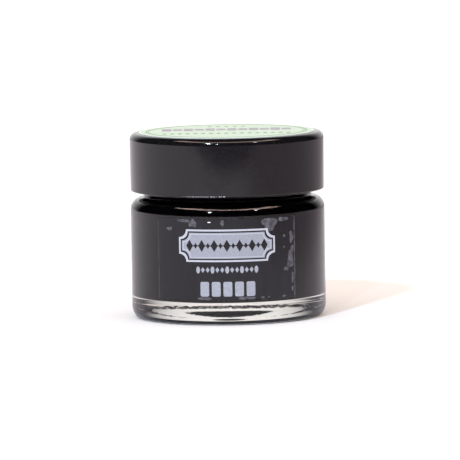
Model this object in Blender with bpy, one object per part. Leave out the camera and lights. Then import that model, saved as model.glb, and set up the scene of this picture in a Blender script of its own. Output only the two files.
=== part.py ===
"""Screw-capped glass jar of black shoe cream: jar, cream, wad liner, cap and two labels.

The origin is the centre of the base, +Z is the jar's axis and the front label faces -Y.
Run it with blender --background --python part.py, or from Blender's text editor.
"""

import math

import bmesh
import bpy

MM = 0.001

# Everything turned has this many flats around it.
SIDES = 60

# Overall sizes, in millimetres.
JAR_RADIUS = 26.0
CAP_RADIUS = 26.0
CAP_BOTTOM = 34.0
CAP_TOP = 49.45

# Two pieces that lie against each other keep this gap.
TOUCH_GAP = 0.3

# The jar, outside. The heel rises from the foot ring to the side wall as a superellipse.
FOOT_RING_INNER = 19.5
FOOT_RING_OUTER = 23.8
HEEL_TOP = 3.7
HEEL_FULLNESS = 0.92
HEEL_STEPS = 6
PUSH_UP = 2.58
PUSH_UP_SHALLOW_RADIUS = 14.6
PUSH_UP_FALL = 0.15
PUSH_UP_STEPS = 2
PUSH_UP_EDGE_STEPS = 4
SHOULDER_FILLET = 3.3
SHOULDER_TOP = 32.25
NECK_ROOT = (0.4, 1.4)
NECK_RADIUS = JAR_RADIUS - SHOULDER_FILLET - NECK_ROOT[0]
RIM_TOP = 45.9
RIM_FILLET = 0.6
FILLET_STEPS = 6
SMALL_FILLET_STEPS = 3

# The jar, inside. The thick floor is domed, and meets the wall in a tight rounded corner.
WALL_RADIUS_INSIDE = 23.3
FLOOR_EDGE = 5.82
FLOOR_DOME = 2.45
FLOOR_CORNER = (1.75, 1.0)
FLOOR_STEPS = 3
SHOULDER_INSIDE_LOW = 27.5
SHOULDER_INSIDE_HIGH = 31.8
SHOULDER_STEPS = 4
BORE_RADIUS = 20.4

# The cream that fills the jar.
CREAM_TOP = 39.6
CREAM_DISH = 0.7
DISH_STEPS = 3

# Screw thread: six turns to the inch, right-handed, the same helix for both ridges.
THREAD_LEAD = 25.4 / 6
THREAD_TURNS = 1.25
THREAD_ROOT_WIDTH = 1.6
THREAD_CREST_WIDTH = 0.7
THREAD_RUN_OUT = math.radians(24)
JAR_THREAD_START = 39.0
JAR_THREAD_CREST = 23.6
CAP_THREAD_BELOW_JAR_THREAD = 2.0
CAP_THREAD_CREST = 22.75
THREAD_ROOTED = 0.3
THREAD_LEAST_GROWTH = 0.05

# The cap.
CAP_MOUTH_RADIUS = 25.9
CAP_FILLET = 1.8
CAP_INSIDE_RADIUS = 24.0
CAP_CEILING = 47.7
CAP_CEILING_FILLET = 0.8
CAP_MOUTH_BREAK = 0.35
CAP_FILLET_STEPS = 5

# The wad that seals the rim, held up in the cap.
LINER_RADIUS = 23.55
LINER_CORNER = 0.2

# The labels.
LABEL_THICKNESS = 0.12
TOP_LABEL_RADIUS = 23.5
FRONT_LABEL_HALF_ANGLE = math.radians(43.7)
FRONT_LABEL_CENTRE = math.radians(-91.2)
FRONT_LABEL_BOTTOM = 6.9
FRONT_LABEL_TOP = 28.4

# Linear colours with alpha, roughness and metallic value of each material.
MATERIALS = {
    "flint_glass": ((0.86, 0.87, 0.86, 0.35), 0.04, 0.0),
    "black_cream": ((0.012, 0.011, 0.013, 1.0), 0.35, 0.0),
    "black_phenolic": ((0.022, 0.020, 0.022, 1.0), 0.16, 0.0),
    "foam_wad": ((0.86, 0.85, 0.82, 1.0), 0.75, 0.0),
    "clear_film": ((0.30, 0.30, 0.33, 0.45), 0.30, 0.0),
    "green_paper": ((0.72, 0.86, 0.66, 1.0), 0.55, 0.0),
}


def clear_scene():
    for thing in list(bpy.data.objects):
        bpy.data.objects.remove(thing, do_unlink=True)


def make_material(name):
    colour, roughness, metallic = MATERIALS[name]
    material = bpy.data.materials.new(name)
    material.use_nodes = True
    shader = material.node_tree.nodes["Principled BSDF"]
    shader.inputs["Base Color"].default_value = colour[:3] + (1.0,)
    shader.inputs["Alpha"].default_value = colour[3]
    shader.inputs["Roughness"].default_value = roughness
    shader.inputs["Metallic"].default_value = metallic
    material.diffuse_color = colour
    return material


def oval_arc(centre, reach, start, end, steps):
    """Points (r, z) on an ellipse with this reach along r and z, from one angle to another, in degrees."""
    points = []
    for step in range(steps + 1):
        angle = math.radians(start + (end - start) * step / steps)
        points.append((centre[0] + reach[0] * math.cos(angle), centre[1] + reach[1] * math.sin(angle)))
    return points


def arc(centre, radius, start, end, steps):
    return oval_arc(centre, (radius, radius), start, end, steps)


def add_object(name, mesh, material):
    mesh.shade_smooth()
    mesh.set_sharp_from_angle(angle=math.radians(35))
    mesh.materials.append(make_material(material))
    thing = bpy.data.objects.new(name, mesh)
    bpy.context.scene.collection.objects.link(thing)
    return thing


def mesh_from(name, shape):
    bmesh.ops.recalc_face_normals(shape, faces=shape.faces)
    mesh = bpy.data.meshes.new(name)
    shape.to_mesh(mesh)
    shape.free()
    return mesh


def turned(name, outline, material):
    """A solid of revolution: an outline of (r, z) in mm, from the axis to the axis, spun about Z."""
    shape = bmesh.new()
    corners = [shape.verts.new((r * MM, 0.0, z * MM)) for r, z in outline]
    edges = [shape.edges.new(pair) for pair in zip(corners, corners[1:])]
    bmesh.ops.spin(
        shape,
        geom=corners + edges,
        cent=(0.0, 0.0, 0.0),
        axis=(0.0, 0.0, 1.0),
        angle=2 * math.pi,
        steps=SIDES,
        use_merge=True,
    )
    bmesh.ops.remove_doubles(shape, verts=shape.verts, dist=0.002 * MM)
    return add_object(name, mesh_from(name, shape), material)


def thread_ridge(name, start_height, root_radius, crest_radius):
    """A trapezoid ridge that climbs with the angle and sinks back to its root at both ends."""
    shape = bmesh.new()
    steps = round(THREAD_TURNS * SIDES)
    rows = []
    for step in range(steps + 1):
        angle = 2 * math.pi * step / SIDES
        from_end = min(step, steps - step) * 2 * math.pi / SIDES
        grown = math.sin(min(1.0, from_end / THREAD_RUN_OUT) * math.pi / 2)
        crest = root_radius + (crest_radius - root_radius) * max(grown, THREAD_LEAST_GROWTH)
        height = start_height + THREAD_LEAD * angle / (2 * math.pi)
        section = (
            (root_radius, height - THREAD_ROOT_WIDTH / 2),
            (crest, height - THREAD_CREST_WIDTH / 2),
            (crest, height + THREAD_CREST_WIDTH / 2),
            (root_radius, height + THREAD_ROOT_WIDTH / 2),
        )
        rows.append(
            [
                shape.verts.new((r * math.cos(angle) * MM, r * math.sin(angle) * MM, z * MM))
                for r, z in section
            ]
        )
    for row, next_row in zip(rows, rows[1:]):
        for corner in range(4):
            after = (corner + 1) % 4
            shape.faces.new((row[corner], row[after], next_row[after], next_row[corner]))
    shape.faces.new(rows[0])
    shape.faces.new(rows[-1])
    mesh = mesh_from(name, shape)
    ridge = bpy.data.objects.new(name, mesh)
    bpy.context.scene.collection.objects.link(ridge)
    ridge.hide_render = True
    ridge.display_type = "WIRE"
    return ridge


def join_ridge(thing, ridge):
    union = thing.modifiers.new("thread", "BOOLEAN")
    union.operation = "UNION"
    union.object = ridge


def inside_shoulder(offset):
    """The S from the side wall up into the bore, moved in from the glass by an offset."""
    points = []
    for step in range(SHOULDER_STEPS + 1):
        part = step / SHOULDER_STEPS
        eased = part * part * (3 - 2 * part)
        radius = WALL_RADIUS_INSIDE + (BORE_RADIUS - WALL_RADIUS_INSIDE) * eased
        height = SHOULDER_INSIDE_LOW + (SHOULDER_INSIDE_HIGH - SHOULDER_INSIDE_LOW) * part
        points.append((radius - offset, height - offset))
    return points


def inside_floor(offset):
    """The domed floor and its rounded corner, up to the side wall, moved off the glass by an offset."""
    corner_radius = WALL_RADIUS_INSIDE - FLOOR_CORNER[0]
    points = []
    for step in range(FLOOR_STEPS):
        part = step / FLOOR_STEPS
        points.append((corner_radius * part, FLOOR_EDGE + offset + FLOOR_DOME * (1 - part**2)))
    centre = (corner_radius, FLOOR_EDGE + FLOOR_CORNER[1])
    reach = (FLOOR_CORNER[0] - offset, FLOOR_CORNER[1] - offset)
    return points + oval_arc(centre, reach, -90, 0, SMALL_FILLET_STEPS)


def push_up():
    """The hollow in the underside: nearly flat in the middle, then down to the foot ring."""
    points = []
    for step in range(PUSH_UP_STEPS):
        part = step / PUSH_UP_STEPS
        points.append((PUSH_UP_SHALLOW_RADIUS * part, PUSH_UP * (1 - PUSH_UP_FALL * part**2)))
    reach = (FOOT_RING_INNER - PUSH_UP_SHALLOW_RADIUS, PUSH_UP * (1 - PUSH_UP_FALL))
    return points + oval_arc((PUSH_UP_SHALLOW_RADIUS, 0.0), reach, 90, 0, PUSH_UP_EDGE_STEPS)


def heel():
    points = []
    for step in range(HEEL_STEPS + 1):
        angle = math.pi / 2 * step / HEEL_STEPS
        radius = FOOT_RING_OUTER + (JAR_RADIUS - FOOT_RING_OUTER) * math.sin(angle) ** HEEL_FULLNESS
        points.append((radius, HEEL_TOP * (1 - abs(math.cos(angle)) ** HEEL_FULLNESS)))
    return points


def jar_outside():
    """From the middle of the underside out, up the wall and over the shoulder to the neck's root."""
    outline = push_up() + heel()
    shoulder_centre = (JAR_RADIUS - SHOULDER_FILLET, SHOULDER_TOP - SHOULDER_FILLET)
    outline += arc(shoulder_centre, SHOULDER_FILLET, 0, 90, FILLET_STEPS)
    root_centre = (NECK_RADIUS + NECK_ROOT[0], SHOULDER_TOP + NECK_ROOT[1])
    outline += oval_arc(root_centre, NECK_ROOT, 270, 180, SMALL_FILLET_STEPS)[1:]
    return outline


def jar_outline():
    rim_outer = arc((NECK_RADIUS - RIM_FILLET, RIM_TOP - RIM_FILLET), RIM_FILLET, 0, 90, SMALL_FILLET_STEPS)
    inner_centre = (BORE_RADIUS + RIM_FILLET, RIM_TOP - RIM_FILLET)
    rim_inner = arc(inner_centre, RIM_FILLET, 90, 180, SMALL_FILLET_STEPS)
    inside = inside_floor(0.0) + inside_shoulder(0.0)
    return jar_outside() + rim_outer + rim_inner + list(reversed(inside))


def make_glass_jar():
    jar = turned("glass_jar", jar_outline(), "flint_glass")
    ridge = thread_ridge(
        "jar_thread_ridge", JAR_THREAD_START, NECK_RADIUS - THREAD_ROOTED, JAR_THREAD_CREST
    )
    join_ridge(jar, ridge)


def make_shoe_cream():
    """The jar's inside, drawn in by the gap, up to a slightly dished top."""
    outline = inside_floor(TOUCH_GAP) + inside_shoulder(TOUCH_GAP)
    edge = BORE_RADIUS - TOUCH_GAP
    for step in range(DISH_STEPS + 1):
        part = 1 - step / DISH_STEPS
        outline.append((edge * part, CREAM_TOP - CREAM_DISH * (1 - part**2)))
    turned("shoe_cream", outline, "black_cream")


def make_cap_liner():
    low = RIM_TOP + TOUCH_GAP
    high = CAP_CEILING - TOUCH_GAP
    outline = [
        (0.0, low),
        (LINER_RADIUS - LINER_CORNER, low),
        (LINER_RADIUS, low + LINER_CORNER),
        (LINER_RADIUS, high - LINER_CORNER),
        (LINER_RADIUS - LINER_CORNER, high),
        (0.0, high),
    ]
    turned("cap_liner", outline, "foam_wad")


def make_screw_cap():
    outline = [(0.0, CAP_CEILING)]
    outline += arc(
        (CAP_INSIDE_RADIUS - CAP_CEILING_FILLET, CAP_CEILING - CAP_CEILING_FILLET),
        CAP_CEILING_FILLET,
        90,
        0,
        SMALL_FILLET_STEPS,
    )
    outline += [
        (CAP_INSIDE_RADIUS, CAP_BOTTOM + CAP_MOUTH_BREAK),
        (CAP_INSIDE_RADIUS + CAP_MOUTH_BREAK, CAP_BOTTOM),
        (CAP_MOUTH_RADIUS - CAP_MOUTH_BREAK, CAP_BOTTOM),
        (CAP_MOUTH_RADIUS, CAP_BOTTOM + CAP_MOUTH_BREAK),
    ]
    outline += arc((CAP_RADIUS - CAP_FILLET, CAP_TOP - CAP_FILLET), CAP_FILLET, 0, 90, CAP_FILLET_STEPS)
    outline.append((0.0, CAP_TOP))
    cap = turned("screw_cap", outline, "black_phenolic")
    ridge = thread_ridge(
        "cap_thread_ridge",
        JAR_THREAD_START - CAP_THREAD_BELOW_JAR_THREAD,
        CAP_INSIDE_RADIUS + THREAD_ROOTED,
        CAP_THREAD_CREST,
    )
    join_ridge(cap, ridge)


def make_top_label():
    low = CAP_TOP + TOUCH_GAP
    high = low + LABEL_THICKNESS
    outline = [(0.0, low), (TOP_LABEL_RADIUS, low), (TOP_LABEL_RADIUS, high), (0.0, high)]
    turned("top_label", outline, "green_paper")


def make_front_label():
    """A film bent round the jar: a rectangle of its section swept through the label's arc."""
    shape = bmesh.new()
    inner = (JAR_RADIUS + TOUCH_GAP) * MM
    outer = inner + LABEL_THICKNESS * MM
    start = FRONT_LABEL_CENTRE - FRONT_LABEL_HALF_ANGLE
    section = [
        shape.verts.new((r * math.cos(start), r * math.sin(start), z * MM))
        for r, z in (
            (inner, FRONT_LABEL_BOTTOM),
            (outer, FRONT_LABEL_BOTTOM),
            (outer, FRONT_LABEL_TOP),
            (inner, FRONT_LABEL_TOP),
        )
    ]
    end_face = shape.faces.new(section)
    bmesh.ops.spin(
        shape,
        geom=[end_face],
        cent=(0.0, 0.0, 0.0),
        axis=(0.0, 0.0, 1.0),
        angle=2 * FRONT_LABEL_HALF_ANGLE,
        steps=round(SIDES * FRONT_LABEL_HALF_ANGLE / math.pi),
    )
    add_object("front_label", mesh_from("front_label", shape), "clear_film")


def main():
    clear_scene()
    make_glass_jar()
    make_shoe_cream()
    make_cap_liner()
    make_screw_cap()
    make_top_label()
    make_front_label()


main()
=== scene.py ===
"""The looks of a screw-capped glass jar of black shoe cream, modelled round its CAD frame."""

import math

import bpy
from bpy.props import FloatProperty, PointerProperty, StringProperty
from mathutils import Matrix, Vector


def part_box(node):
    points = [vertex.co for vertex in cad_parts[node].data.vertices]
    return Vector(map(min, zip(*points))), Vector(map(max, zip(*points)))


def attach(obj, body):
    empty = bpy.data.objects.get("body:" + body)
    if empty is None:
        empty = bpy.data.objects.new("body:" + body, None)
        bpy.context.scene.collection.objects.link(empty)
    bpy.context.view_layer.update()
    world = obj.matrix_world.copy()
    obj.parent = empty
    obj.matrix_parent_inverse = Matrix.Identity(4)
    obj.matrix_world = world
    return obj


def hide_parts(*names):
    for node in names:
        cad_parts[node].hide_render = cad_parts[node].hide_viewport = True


bl_info = {
    "name": "Shoe Cream Jar",
    "version": (1, 0, 0),
    "blender": (4, 5, 0),
    "location": "View3D > Sidebar > Cream Jar",
    "description": "Models a glass jar of shoe cream with its cap, liner and labels",
    "category": "Add Mesh",
}

MM = 0.001
# A ring of points this close to a rounding keeps the flat wall beside it shaded flat.
GUARD = 0.12 * MM
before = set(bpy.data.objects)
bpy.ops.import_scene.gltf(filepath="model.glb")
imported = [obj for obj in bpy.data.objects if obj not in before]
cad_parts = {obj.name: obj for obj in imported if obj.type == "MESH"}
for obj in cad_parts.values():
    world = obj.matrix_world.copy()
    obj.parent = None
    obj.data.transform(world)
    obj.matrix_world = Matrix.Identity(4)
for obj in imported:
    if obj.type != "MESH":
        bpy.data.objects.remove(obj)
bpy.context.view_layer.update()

JAR_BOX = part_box("glass_jar")
CREAM_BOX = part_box("shoe_cream")
LINER_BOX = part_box("cap_liner")
CAP_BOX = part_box("screw_cap")
LID_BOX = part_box("top_label")
FILM_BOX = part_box("front_label")

# Settings that several pieces share.
SIDES = 192
THREAD_LEAD = 25.4 * MM / 6
THREAD_TURNS = 1.25
THREAD_SIDES = 12
THREAD_HALF_WIDTH = 0.8 * MM
THREAD_ROOTED = 0.2 * MM
THREAD_SINK = 0.25 * MM
THREAD_RUN_OUT = 24.0
JAR_THREAD_START = 39.0 * MM
JAR_THREAD_CREST = 23.6 * MM
CAP_THREAD_START = 37.0 * MM
CAP_THREAD_CREST = 22.75 * MM
FILM_CENTRE = math.radians(-1.2)
FILM_SEAT = 0.02 * MM
FILM_THICKNESS = 0.06 * MM
INK_THICKNESS = 0.02 * MM
LID_THICKNESS = 0.12 * MM


# Sizes and colours that a user would change.


class JarSizes(bpy.types.PropertyGroup):
    """Sizes of the jar, its cap and its labels."""

    jar_radius: FloatProperty(
        name="Jar radius",
        description="Outside radius of the jar's side wall",
        default=JAR_BOX[1].x,
        unit="LENGTH",
    )
    rim_height: FloatProperty(
        name="Rim height",
        description="Height of the jar's rim above its foot",
        default=JAR_BOX[1].z,
        unit="LENGTH",
    )
    heel_height: FloatProperty(
        name="Heel height",
        description="Height at which the rounded heel meets the side wall",
        default=3.7 * MM,
        unit="LENGTH",
    )
    shoulder_height: FloatProperty(
        name="Shoulder height",
        description="Height of the shoulder's top",
        default=32.25 * MM,
        unit="LENGTH",
    )
    shoulder_fillet: FloatProperty(
        name="Shoulder fillet",
        description="Radius of the rounding between the side wall and the shoulder",
        default=3.3 * MM,
        unit="LENGTH",
    )
    cap_fillet: FloatProperty(
        name="Cap fillet",
        description="Radius of the rounding round the cap's top",
        default=1.8 * MM,
        unit="LENGTH",
    )
    film_width: FloatProperty(
        name="Film width",
        description="Width of the front label, measured along its curve",
        default=39.8 * MM,
        unit="LENGTH",
    )


class JarColours(bpy.types.PropertyGroup):
    """Colours of the jar's materials, as sRGB hex values."""

    lid_paper: StringProperty(
        name="Lid green", description="Darker green of the top label", default="#BDCFBC"
    )
    lid_paper_high: StringProperty(
        name="Lid green, light", description="Lighter green of the top label", default="#C5D8C4"
    )
    lavender: StringProperty(
        name="Lavender", description="Colour of the top label's band", default="#8D8991"
    )
    silver_ink: StringProperty(
        name="Silver ink", description="Colour of the front label's plate", default="#868A96"
    )
    silver_line: StringProperty(
        name="Silver lines", description="Colour of the brightest silver", default="#B3B7C2"
    )


# Mesh tools.


def linear(hex_colour):
    """An sRGB hex colour as the linear red, green, blue and alpha that a shader reads."""
    channels = [int(hex_colour[start : start + 2], 16) / 255 for start in (1, 3, 5)]
    scene_linear = [
        value / 12.92 if value <= 0.04045 else ((value + 0.055) / 1.055) ** 2.4 for value in channels
    ]
    return (*scene_linear, 1.0)


def arc(centre, reach, start, end, steps):
    """Points (r, z) on an ellipse with this reach along r and z, between two angles in degrees."""
    points = []
    for step in range(steps + 1):
        angle = math.radians(start + (end - start) * step / steps)
        points.append((centre[0] + reach[0] * math.cos(angle), centre[1] + reach[1] * math.sin(angle)))
    return points


def start_clean():
    """Object mode with nothing selected, so that the next operator acts on its own piece only."""
    if bpy.context.object is not None and bpy.context.object.mode != "OBJECT":
        bpy.ops.object.mode_set(mode="OBJECT")
    bpy.ops.object.select_all(action="DESELECT")


def pick(piece):
    """Makes a piece the only selected and active object."""
    start_clean()
    piece.select_set(True)
    bpy.context.view_layer.objects.active = piece


def new_piece(name, scale=(1.0, 1.0, 1.0)):
    """Names the primitive that was just added, sizes it and puts its place into its mesh."""
    piece = bpy.context.object
    piece.name = name
    piece.data.name = name
    piece.scale = scale
    bpy.ops.object.transform_apply(location=True, rotation=True, scale=True)
    return piece


def apply_modifiers(piece):
    pick(piece)
    for modifier in list(piece.modifiers):
        bpy.ops.object.modifier_apply(modifier=modifier.name)


def smooth(piece, degrees=35):
    pick(piece)
    bpy.ops.object.shade_smooth_by_angle(angle=math.radians(degrees))


def turn(name, outline, sides=SIDES):
    """Draws half a section by extruding a corner from point to point, then spins it round the axis."""
    start_clean()
    first = outline[0]
    bpy.ops.mesh.primitive_plane_add(size=MM, location=(first[0], 0.0, first[1]))
    piece = new_piece(name)
    bpy.ops.object.mode_set(mode="EDIT")
    bpy.ops.mesh.select_all(action="SELECT")
    bpy.ops.mesh.merge(type="CENTER")
    for here, there in zip(outline, outline[1:]):
        reach = (there[0] - here[0], 0.0, there[1] - here[1])
        bpy.ops.mesh.extrude_vertices_move(TRANSFORM_OT_translate={"value": reach})
    bpy.ops.mesh.select_all(action="SELECT")
    bpy.ops.mesh.spin(steps=sides, angle=math.tau, center=(0.0, 0.0, 0.0), axis=(0.0, 0.0, 1.0))
    bpy.ops.mesh.select_all(action="SELECT")
    bpy.ops.mesh.remove_doubles(threshold=0.002 * MM)
    bpy.ops.mesh.normals_make_consistent(inside=False)
    bpy.ops.object.mode_set(mode="OBJECT")
    return piece


def wind_thread(name, start, root, crest):
    """A rounded ridge wound up the thread's helix, which sinks into its wall at both ends."""
    start_clean()
    bpy.ops.mesh.primitive_circle_add(
        vertices=THREAD_SIDES,
        radius=1.0,
        location=(root, 0.0, start),
        rotation=(math.pi / 2, 0.0, 0.0),
    )
    ridge = new_piece(name, (abs(crest - root), THREAD_HALF_WIDTH, 1.0))
    screw = ridge.modifiers.new("Wind", "SCREW")
    screw.angle = math.tau * THREAD_TURNS
    screw.screw_offset = THREAD_LEAD * THREAD_TURNS
    screw.steps = round(SIDES * THREAD_TURNS)
    screw.render_steps = screw.steps
    screw.use_merge_vertices = False
    screw.merge_threshold = 0.01 * MM
    apply_modifiers(ridge)
    last_row = len(ridge.data.vertices) // THREAD_SIDES - 1
    run_out = SIDES * THREAD_RUN_OUT / 360
    for vertex in ridge.data.vertices:
        row = vertex.index // THREAD_SIDES
        from_end = min(row, last_row - row)
        grown = math.sin(min(1.0, from_end / run_out) * math.pi / 2)
        radius = math.hypot(vertex.co.x, vertex.co.y)
        buried = math.copysign(THREAD_SINK, crest - root) * (1 - grown)
        sunk = root + (radius - root) * max(grown, 0.1) - buried
        vertex.co.x *= sunk / radius
        vertex.co.y *= sunk / radius
    bpy.ops.object.mode_set(mode="EDIT")
    bpy.ops.mesh.select_all(action="DESELECT")
    bpy.ops.mesh.select_non_manifold()
    bpy.ops.mesh.fill_holes(sides=0)
    bpy.ops.mesh.select_all(action="SELECT")
    bpy.ops.mesh.normals_make_consistent(inside=False)
    bpy.ops.object.mode_set(mode="OBJECT")
    return ridge


def join_solid(piece, added):
    """Unites another solid with a piece and removes the leftover."""
    union = piece.modifiers.new("Join", "BOOLEAN")
    union.operation = "UNION"
    union.object = added
    apply_modifiers(piece)
    bpy.data.objects.remove(added, do_unlink=True)


def finish_piece(piece, material, body, nodes):
    """Gives a finished piece its material and body, and hides the CAD nodes that it stands for."""
    piece.data.materials.clear()
    piece.data.materials.append(material)
    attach(piece, body)
    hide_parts(*nodes)


# Material tools.


def add_node(material, kind, settings=None, inputs=None, stops=()):
    """Adds a node with its settings and inputs, and a ramp with its stops.

    An input is a value or another node's output. A stop is a position and a hex colour.
    """
    tree = material.node_tree
    node = tree.nodes.new(kind)
    for name, value in (settings or {}).items():
        setattr(node, name, value)
    for name, value in (inputs or {}).items():
        if isinstance(value, bpy.types.NodeSocket):
            tree.links.new(value, node.inputs[name])
        else:
            node.inputs[name].default_value = value
    for number, (position, colour) in enumerate(stops):
        element = node.color_ramp.elements[number]
        element.position, element.color = position, linear(colour)
    return node


def start_material(name):
    material = bpy.data.materials.new(name)
    material.use_nodes = True
    material.node_tree.nodes.clear()
    place = add_node(material, "ShaderNodeTexCoord")
    return material, place.outputs["Object"]


def end_material(material, shader):
    add_node(material, "ShaderNodeOutputMaterial", inputs={"Surface": shader.outputs[0]})
    return material


def flint_glass():
    """Flint glass, pressed in an iron mould and fire polished: clear, with a faint slow ripple."""
    material, place = start_material("Flint glass, moulded and fire polished")
    ripple = add_node(
        material,
        "ShaderNodeTexNoise",
        inputs={"Vector": place, "Scale": 1 / (11.11 * MM), "Detail": 2.0, "Roughness": 0.4},
    )
    bump = add_node(
        material,
        "ShaderNodeBump",
        inputs={"Height": ripple.outputs[0], "Strength": 0.25, "Distance": 0.05 * MM},
    )
    shader = add_node(
        material,
        "ShaderNodeBsdfPrincipled",
        inputs={
            "Base Color": linear("#F4F0EC"),
            "Roughness": 0.03,
            "IOR": 1.52,
            "Transmission Weight": 1.0,
            "Normal": bump.outputs[0],
        },
    )
    return end_material(material, shader)


def scuffed_glass_and_painted_light():
    """Stippled glass, scuffed by every shelf and table that it has stood on; its pale colour is also
    painted light that reaches the foot through the glass.
    """
    material, place = start_material("Flint glass, stippled, scuffed, painted pale light")
    scuffs = add_node(
        material,
        "ShaderNodeTexNoise",
        inputs={"Vector": place, "Scale": 1 / (1.111 * MM), "Detail": 3.0},
    )
    # The pale grey stands partly for scuffing and partly for painted light under the foot.
    colour = add_node(
        material,
        "ShaderNodeValToRGB",
        inputs={"Fac": scuffs.outputs[0]},
        stops=((0.3, "#A9A8AA"), (0.7, "#DAD6D2")),
    )
    shader = add_node(
        material,
        "ShaderNodeBsdfPrincipled",
        inputs={
            "Base Color": colour.outputs["Color"],
            "Roughness": 0.5,
            "IOR": 1.52,
            "Transmission Weight": 0.4,
        },
    )
    return end_material(material, shader)


def wax_cream(name, specular, roughness):
    """Carbon-black wax cream: a deep black body with a soft waxy sheen where air reaches it."""
    material, place = start_material(name)
    clots = add_node(
        material,
        "ShaderNodeTexNoise",
        inputs={"Vector": place, "Scale": 1 / (3.125 * MM), "Detail": 3.0},
    )
    bump = add_node(
        material,
        "ShaderNodeBump",
        inputs={"Height": clots.outputs[0], "Strength": 0.3, "Distance": 0.1 * MM},
    )
    colour = add_node(
        material,
        "ShaderNodeValToRGB",
        inputs={"Fac": clots.outputs[0]},
        stops=((0.3, "#050509"), (0.7, "#0B0A10")),
    )
    shader = add_node(
        material,
        "ShaderNodeBsdfPrincipled",
        inputs={
            "Base Color": colour.outputs["Color"],
            "Roughness": roughness,
            "IOR": 1.44,
            "Specular IOR Level": specular,
            "Normal": bump.outputs[0],
        },
    )
    return end_material(material, shader)


def cap_plastic():
    """Black phenolic plastic, hot pressed in a polished mould: hard gloss with fine dust and haze."""
    material, place = start_material("Phenolic plastic, black, polished mould")
    haze = add_node(
        material,
        "ShaderNodeTexNoise",
        inputs={"Vector": place, "Scale": 1 / (3.846 * MM), "Detail": 4.0, "Roughness": 0.6},
    )
    # The dust is drawn coarser than real dust, so that it shows.
    dust = add_node(
        material,
        "ShaderNodeTexNoise",
        inputs={"Vector": place, "Scale": 1 / (0.4167 * MM), "Detail": 2.0},
    )
    roughness = add_node(
        material,
        "ShaderNodeMapRange",
        inputs={"Value": haze.outputs[0], "From Min": 0.3, "From Max": 0.7, "To Min": 0.05, "To Max": 0.1},
    )
    colour = add_node(
        material,
        "ShaderNodeValToRGB",
        inputs={"Fac": dust.outputs[0]},
        stops=((0.45, "#0B0A0B"), (0.75, "#1B191B")),
    )
    bump = add_node(
        material,
        "ShaderNodeBump",
        inputs={"Height": haze.outputs[0], "Strength": 0.2, "Distance": 0.02 * MM},
    )
    shader = add_node(
        material,
        "ShaderNodeBsdfPrincipled",
        inputs={
            "Base Color": colour.outputs["Color"],
            "Roughness": roughness.outputs[0],
            "IOR": 1.5,
            "Normal": bump.outputs[0],
        },
    )
    return end_material(material, shader)


def wad_foam():
    """Polyethylene foam, cut from sheet: dull off-white with fine closed cells."""
    material, place = start_material("Polyethylene foam, cut sheet")
    cells = add_node(material, "ShaderNodeTexVoronoi", inputs={"Vector": place, "Scale": 1 / (0.3846 * MM)})
    bump = add_node(
        material,
        "ShaderNodeBump",
        inputs={"Height": cells.outputs["Distance"], "Strength": 0.5, "Distance": 0.08 * MM},
    )
    colour = add_node(
        material,
        "ShaderNodeValToRGB",
        inputs={"Fac": cells.outputs["Distance"]},
        stops=((0.1, "#F1EEE8"), (0.8, "#D9D5CD")),
    )
    shader = add_node(
        material,
        "ShaderNodeBsdfPrincipled",
        inputs={
            "Base Color": colour.outputs["Color"],
            "Roughness": 0.8,
            "IOR": 1.5,
            "Normal": bump.outputs[0],
        },
    )
    return end_material(material, shader)


def label_film():
    """Clear polypropylene film, stuck down: it shows the black behind it, with a fine orange peel."""
    material, place = start_material("Polypropylene label film, clear")
    peel = add_node(
        material,
        "ShaderNodeTexNoise",
        inputs={"Vector": place, "Scale": 1 / (0.5882 * MM), "Detail": 3.0, "Roughness": 0.6},
    )
    stretched = add_node(material, "ShaderNodeMapping", inputs={"Vector": place, "Scale": (1.0, 1.0, 0.12)})
    streaks = add_node(
        material,
        "ShaderNodeTexNoise",
        inputs={"Vector": stretched.outputs[0], "Scale": 1 / (1.111 * MM), "Detail": 2.0, "Roughness": 0.5},
    )
    both = add_node(
        material,
        "ShaderNodeMath",
        {"operation": "MULTIPLY"},
        {0: peel.outputs[0], 1: streaks.outputs[0]},
    )
    colour = add_node(
        material,
        "ShaderNodeValToRGB",
        inputs={"Fac": both.outputs[0]},
        stops=((0.15, "#050509"), (0.45, "#15151C")),
    )
    bump = add_node(
        material,
        "ShaderNodeBump",
        inputs={"Height": both.outputs[0], "Strength": 0.12, "Distance": 0.02 * MM},
    )
    shader = add_node(
        material,
        "ShaderNodeBsdfPrincipled",
        inputs={
            "Base Color": colour.outputs["Color"],
            "Roughness": 0.1,
            "IOR": 1.49,
            "Normal": bump.outputs[0],
        },
    )
    return end_material(material, shader)


def trapped_air_reflection():
    """Air trapped under the film: a second surface whose reflection is painted into the colour, pale grey
    over the black.
    """
    material, place = start_material("Polypropylene label film over air, painted reflection")
    cloud = add_node(
        material,
        "ShaderNodeTexNoise",
        inputs={"Vector": place, "Scale": 1 / (0.9091 * MM), "Detail": 3.0},
    )
    # This pale grey is a painted reflection from the air under the film.
    colour = add_node(
        material,
        "ShaderNodeValToRGB",
        inputs={"Fac": cloud.outputs[0]},
        stops=((0.3, "#2F2F36"), (0.7, "#5A5A62")),
    )
    shader = add_node(
        material,
        "ShaderNodeBsdfPrincipled",
        inputs={"Base Color": colour.outputs["Color"], "Roughness": 0.06, "IOR": 1.49},
    )
    return end_material(material, shader)


def printed_ink_and_glint(name, low, high, roughness=0.3, grain=0.6667 * MM):
    """Screen-printed ink, also used for painted glints and highlights: an even coat with a fine grain from
    the mesh.
    """
    material, place = start_material(name)
    # The grain is drawn coarser than a real mesh leaves it, so that it shows.
    speckle = add_node(
        material,
        "ShaderNodeTexNoise",
        inputs={"Vector": place, "Scale": 1 / grain, "Detail": 3.0},
    )
    colour = add_node(
        material,
        "ShaderNodeValToRGB",
        inputs={"Fac": speckle.outputs[0]},
        stops=((0.3, low), (0.7, high)),
    )
    shader = add_node(
        material,
        "ShaderNodeBsdfPrincipled",
        inputs={"Base Color": colour.outputs["Color"], "Roughness": roughness, "IOR": 1.5},
    )
    return end_material(material, shader)


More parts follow.
